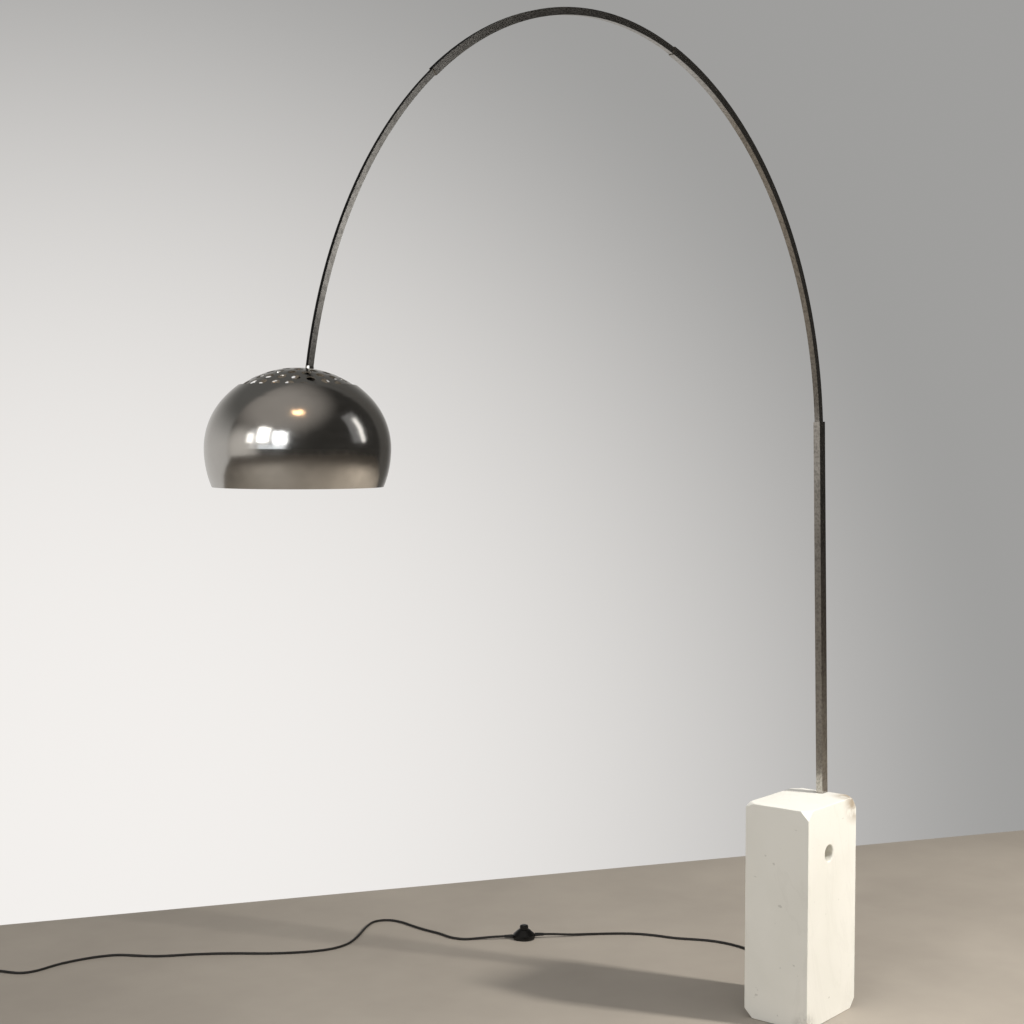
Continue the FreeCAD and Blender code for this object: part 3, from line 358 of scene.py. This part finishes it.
MATERIALS = {
    "marble": marble(),
    "satin_steel": satin_steel(),
    "polished_steel": polished_steel(),
    # Near-black strips close each channel's open side: painted shade for the channel's shadowed
    # inside, and the black flex that runs there.
    "black_strip": plain("black_strip", (0.006, 0.006, 0.006), 0.0, 0.55, 0.8, 300,
                         Specular_IOR_Level=0.1),
    "plated_steel": plain("plated_steel", (0.55, 0.55, 0.54), 1.0, 0.25, 0.4, 250),
    "brass": plain("brass", (0.70, 0.52, 0.24), 1.0, 0.22, 0.38, 200),
    "nylon": plain("nylon", (0.09, 0.09, 0.09), 0.0, 0.45, 0.6, 260),
    "felt": plain("felt", (0.72, 0.70, 0.66), 0.0, 0.9, 1.0, 900, 0.6),
    "black_rubber": plain("black_rubber", (0.012, 0.012, 0.012), 0.0, 0.5, 0.7, 350),
    "flex": plain("flex_sheath", (0.016, 0.015, 0.014), 0.0, 0.38, 0.55, 220),
    "black_bakelite": plain("black_bakelite", (0.005, 0.0048, 0.0045), 0.0, 0.14, 0.26, 180,
                             Specular_IOR_Level=0.35),
    "porcelain": plain("porcelain", (0.86, 0.85, 0.81), 0.0, 0.15, 0.3, 120),
    "bulb_metal": plain("bulb_metal", (0.68, 0.68, 0.67), 1.0, 0.25, 0.4, 250),
    "bulb_glass": glass(),
    "bulb_inside": glass(),
    "spring_steel": plain("spring_steel", (0.5, 0.5, 0.5), 1.0, 0.22, 0.34, 400),
}

SHARP_OVER = math.radians(32)
SLOT_OF = {row["node"]: row["material_slot"] for row in frame["record"]["subparts"]}


def dress_nodes():
    """Give every CAD node and both flexes their material, smooth on curved faces."""
    for name, thing in frame["nodes"].items():
        thing.data.materials.clear()
        thing.data.materials.append(MATERIALS[SLOT_OF[name]])
        thing.data.shade_smooth()
        thing.data.set_sharp_from_angle(angle=SHARP_OVER)
        even = thing.modifiers.new("even_shading", "WEIGHTED_NORMAL")
        even.keep_sharp = True
    for curve in FLEXES:
        curve.data.materials.append(MATERIALS["flex"])


dress_nodes()

# ---- stage: pale floor that ends at a pale wall, and soft studio light ----

WALL_FOOT, WALL_ALONG, WALL_OUT = (0.736, 1.298), (0.856, -0.517), (0.517, 0.856)
FLOOR_LONG, FLOOR_DEEP, FLOOR_Z = 14.0, 16.0, -0.0005
# Directions in the room: its pale side, the bright stretch of ceiling, and the wall's brightest part.
SIDE_WAY, CEILING_WAY, UPWARDS = (-0.88, 0.46, 0.02), (-0.45, -0.05, 0.89), (0, 0, 1)
WALL_BRIGHTEST = (0.565, 0.79, -0.228)


def floor_material():
    """Pale grey-brown concrete, faintly mottled."""
    paint = Paint("stage_floor", (0.34, 0.305, 0.265), roughness=0.6)
    paint.color(paint.ramp(paint.noise(0.9, 5, roughness=0.6), [
        (0.35, (0.30, 0.268, 0.23)), (0.65, (0.375, 0.337, 0.29))]))
    paint.rough(paint.noise(2.0, 4), 0.5, 0.7)
    return paint.material


def make_floor():
    """One flat sheet whose far edge runs along the wall's foot."""
    foot, along, out = Vector(WALL_FOOT), Vector(WALL_ALONG), Vector(WALL_OUT)
    left, right = foot - along * FLOOR_LONG, foot + along * FLOOR_LONG
    corners = [left, left - out * FLOOR_DEEP, right - out * FLOOR_DEEP, right]
    mesh = bpy.data.meshes.new("stage_floor")
    mesh.from_pydata([(corner.x, corner.y, FLOOR_Z) for corner in corners], [], [(0, 1, 2, 3)])
    mesh.materials.append(floor_material())
    floor = bpy.data.objects.new("stage_floor", mesh)
    bpy.context.scene.collection.objects.link(floor)


class Sky(Nodes):
    """The world's light by direction, built up from masks."""

    def __init__(self):
        self.world = bpy.data.worlds.new("studio")
        self.world.use_nodes = True
        super().__init__(self.world.node_tree, "Generated")

    def towards(self, direction, low, high):
        """From 0 to 1 as the direction's cosine goes from low to high."""
        return self.eased(self.compared("DOT_PRODUCT", direction), low, high)


def make_world():
    """By direction: a pale wall on one side, a bright stretch of ceiling, and a dim room."""
    sky = Sky()
    room = sky.mix(sky.noise(4.0, 5, (1, 1, 2.5)), (0.018, 0.017, 0.015), (0.06, 0.057, 0.053))
    side = sky.mix(sky.towards(SIDE_WAY, 0.84, 0.985), room, (0.68, 0.65, 0.61))
    ceiling = sky.mix(sky.towards(CEILING_WAY, 0.52, 0.97), side, (0.36, 0.335, 0.31))
    wall_tone = sky.mix(sky.towards(UPWARDS, 0.0, 0.65), (0.62, 0.605, 0.585),
                        (0.13, 0.128, 0.122))
    far_tone = sky.mix(sky.towards((*WALL_ALONG, 0), 0.2, 0.8), wall_tone, (0.10, 0.095, 0.088))
    around = sky.mix(sky.towards((*WALL_OUT, 0), 0.27, 0.32), ceiling, far_tone)
    # Camera rays see a backdrop with painted light: grey, brightening to near white towards
    # WALL_BRIGHTEST, where the wall was lit most.
    backdrop_painted_light = sky.mix(sky.towards(WALL_BRIGHTEST, 0.84, 1.02),
                       (0.345, 0.342, 0.335), (0.92, 0.895, 0.87))
    seen = sky.node("ShaderNodeLightPath").outputs["Is Camera Ray"]
    background = sky.tree.nodes["Background"]
    sky.link(sky.mix(seen, around, backdrop_painted_light), background.inputs["Color"])
    bpy.context.scene.world = sky.world


def softbox(name, place, target, size, power, color=(1, 1, 1), seen_in_metal=False):
    """A rectangular lamp that either lights the surfaces or shows as a highlight in the metal."""
    data = bpy.data.lights.new(name, "AREA")
    data.shape = "RECTANGLE"
    data.size, data.size_y = size
    data.energy = power
    data.color = color
    lamp = bpy.data.objects.new(name, data)
    lamp.location = place
    direction = Vector(target) - Vector(place)
    lamp.rotation_euler = direction.to_track_quat("-Z", "Y").to_euler()
    lamp.visible_glossy = seen_in_metal
    lamp.visible_diffuse = not seen_in_metal
    bpy.context.scene.collection.objects.link(lamp)


def make_lights():
    """Three soft lamps light the surfaces; the rest are the windows and lamps that the metal shows."""
    shade, block = (-1.77, 0, 1.42), (0, 0, 0.45)
    softbox("key", (1.0, -3.3, 3.25), block, (0.3, 0.5), 250, (1.0, 0.965, 0.91))
    softbox("side_fill", (-6.8, -0.5, 2.6), block, (3.0, 1.6), 130, (0.96, 0.985, 1.0))
    softbox("overhead", (-0.6, -0.6, 4.5), (-0.4, 0.1, 0), (3.0, 3.0), 75)
    softbox("streak", (1.1, -3.1, 3.1), shade, (0.5, 2.2), 5.5, (1.0, 0.98, 0.94), True)
    softbox("streak_glow", (0.7, -3.3, 3.3), shade, (1.6, 2.8), 3, (0.98, 0.98, 1.0), True)
    softbox("window_glow", (-7.2, -0.8, 2.9), shade, (5.0, 2.6), 14, (0.93, 0.96, 1.0), True)
    softbox("window_near", (-6.5, -2.1, 2.9), shade, (1.5, 1.7), 34, (0.95, 0.98, 1.0), True)
    softbox("window_middle", (-6.8, -0.2, 3.2), shade, (1.3, 1.9), 34, (1.0, 0.98, 0.94), True)
    softbox("window_far", (-6.7, 1.3, 2.7), shade, (0.8, 1.1), 6, (1.0, 0.98, 0.94), True)
    softbox("bench", (-6.2, -1.1, 1.7), shade, (2.6, 0.35), 3, (0.85, 0.93, 1.0), True)
    softbox("lamp", (-2.77, -1.03, 3.47), shade, (0.4, 0.3), 2.0, (1.0, 0.6, 0.3), True)


make_floor()
make_world()
make_lights()
bpy.context.scene.view_settings.view_transform = "Standard"
